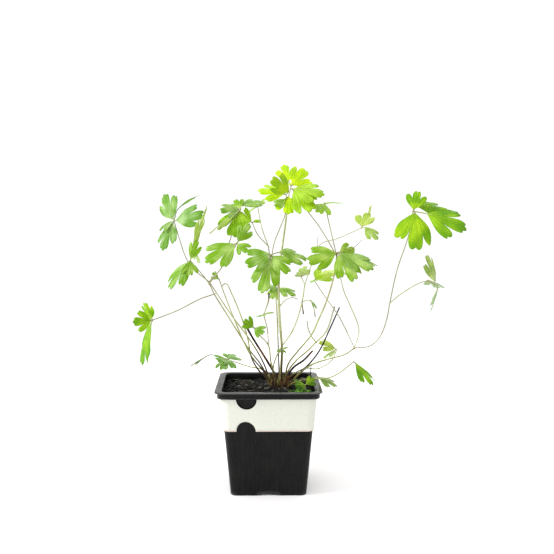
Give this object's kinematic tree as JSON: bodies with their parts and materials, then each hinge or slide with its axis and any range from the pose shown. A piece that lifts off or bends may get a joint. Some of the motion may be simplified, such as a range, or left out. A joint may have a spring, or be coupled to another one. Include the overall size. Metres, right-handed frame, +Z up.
{
  "type": "potted columbine plant",
  "caption": "Young columbine plant: forked stalks with lobed leaves, rising from a crown in the soil of a square tapered nursery pot with a card sleeve",
  "frame": {"origin": "centre of the pot's footprint, on the surface it stands on", "axes": "+Z up along the pot's axis, -Y out of the pot's front, where the notches of the sleeve are, +X to the right seen from the front"},
  "size_m": [0.263, 0.1791, 0.2821],
  "materials": {
    "pot_plastic": "satin",
    "sleeve_card": "matte",
    "potting_soil": "matte",
    "crown_fibre": "matte",
    "leaf_green": "satin",
    "leaf_young": "satin",
    "stalk_green": "satin",
    "dead_stalk": "matte"
  },
  "bodies": {
    "root": {"pot": "pot_plastic", "sleeve": "sleeve_card", "soil": "potting_soil", "crown": "crown_fibre", "leaf_far_left": "leaf_green", "leaf_upper_left": "leaf_green", "leaf_top": "leaf_young", "leaf_back_left": "leaf_green", "leaf_front": "leaf_green", "leaf_back": "leaf_green", "leaf_right": "leaf_green", "leaf_far_right": "leaf_young", "leaf_low_right": "leaf_green", "leaf_low_back": "leaf_green", "leaf_low_left": "leaf_green", "leaf_small_front": "leaf_green", "leaf_soil": "leaf_young", "dead_stalk_left": "dead_stalk", "dead_stalk_right": "dead_stalk", "dead_stalk_short": "dead_stalk", "stalk_hooked_left": "stalk_green", "stalk_bud_left": "stalk_green", "stalk_forked_right": "stalk_green", "grass_blade": "dead_stalk"}
  },
  "joints": []
}
